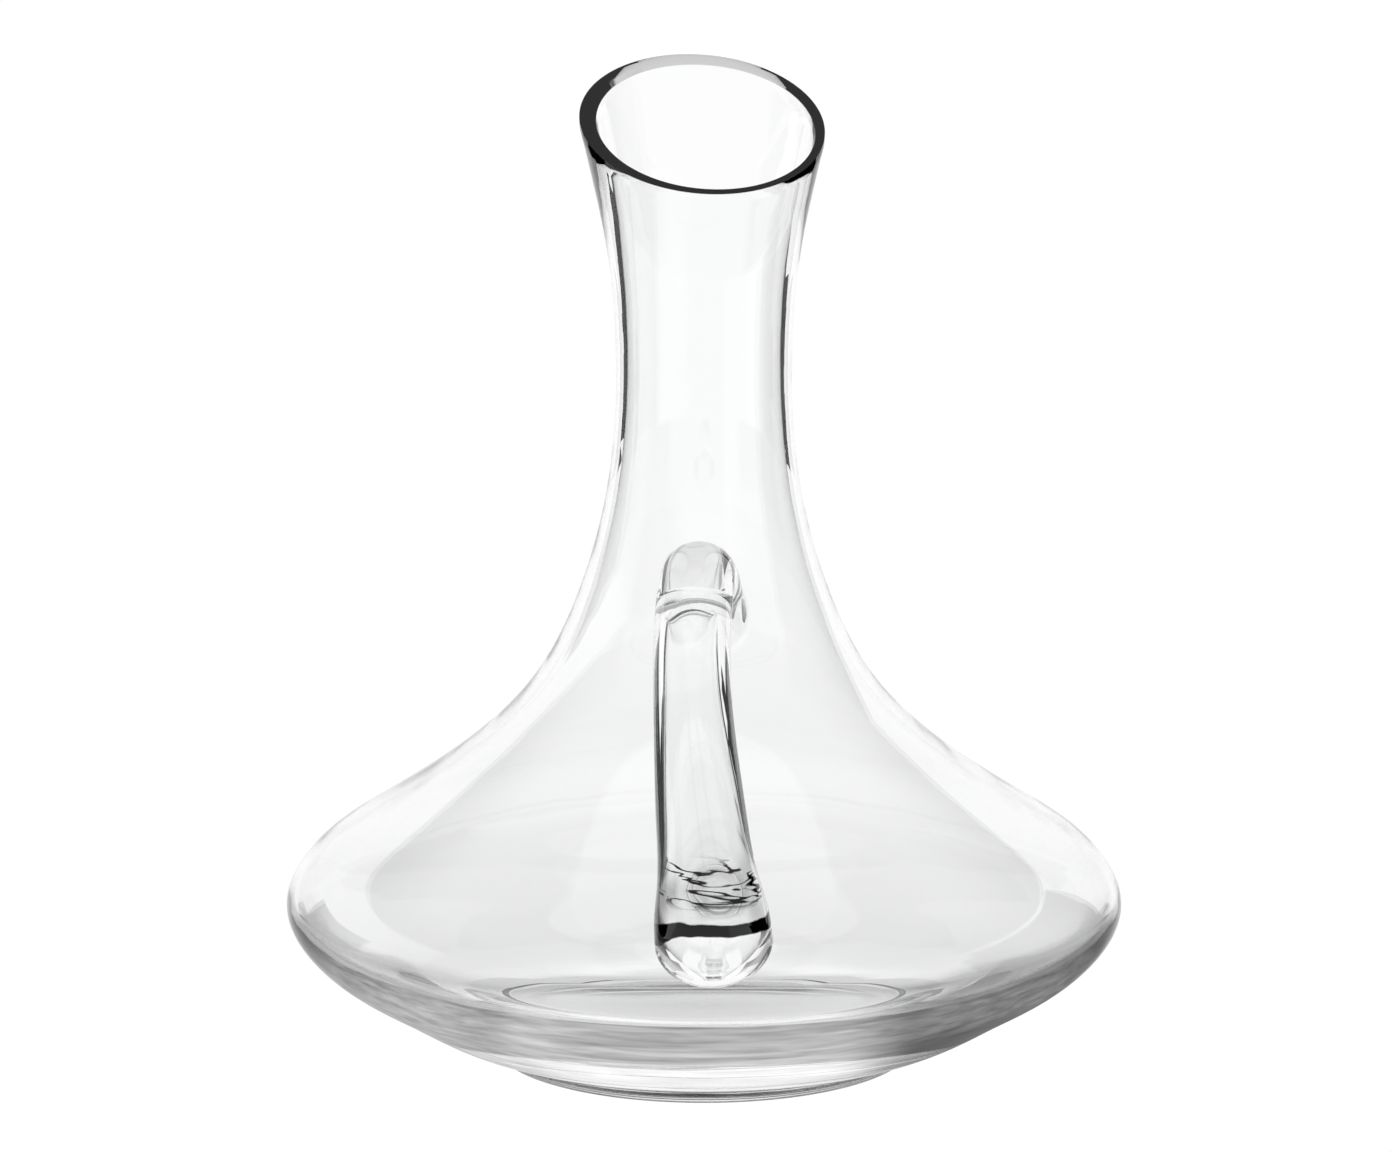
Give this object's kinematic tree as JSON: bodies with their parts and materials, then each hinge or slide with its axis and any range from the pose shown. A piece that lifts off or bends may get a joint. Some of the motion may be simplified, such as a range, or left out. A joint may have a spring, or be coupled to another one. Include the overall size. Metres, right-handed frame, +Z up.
{
  "type": "glass decanter with handle",
  "caption": "Clear glass decanter: wide low bowl on a short foot, slender neck with a slanted mouth, solid glass handle free at its lower end.",
  "frame": {"origin": "middle of the circle the foot stands on, at table height", "axes": "+Z up along the axis of the neck; the handle lies over -Y; the high side of the slanted mouth looks to +Y, turned 8 degrees towards -X"},
  "size_m": [0.216, 0.244, 0.2558],
  "materials": {
    "clear_glass": "clear colourless glass, fire-polished, rim ground flat and polished"
  },
  "bodies": {
    "root": {"decanter": "clear_glass"}
  },
  "joints": []
}
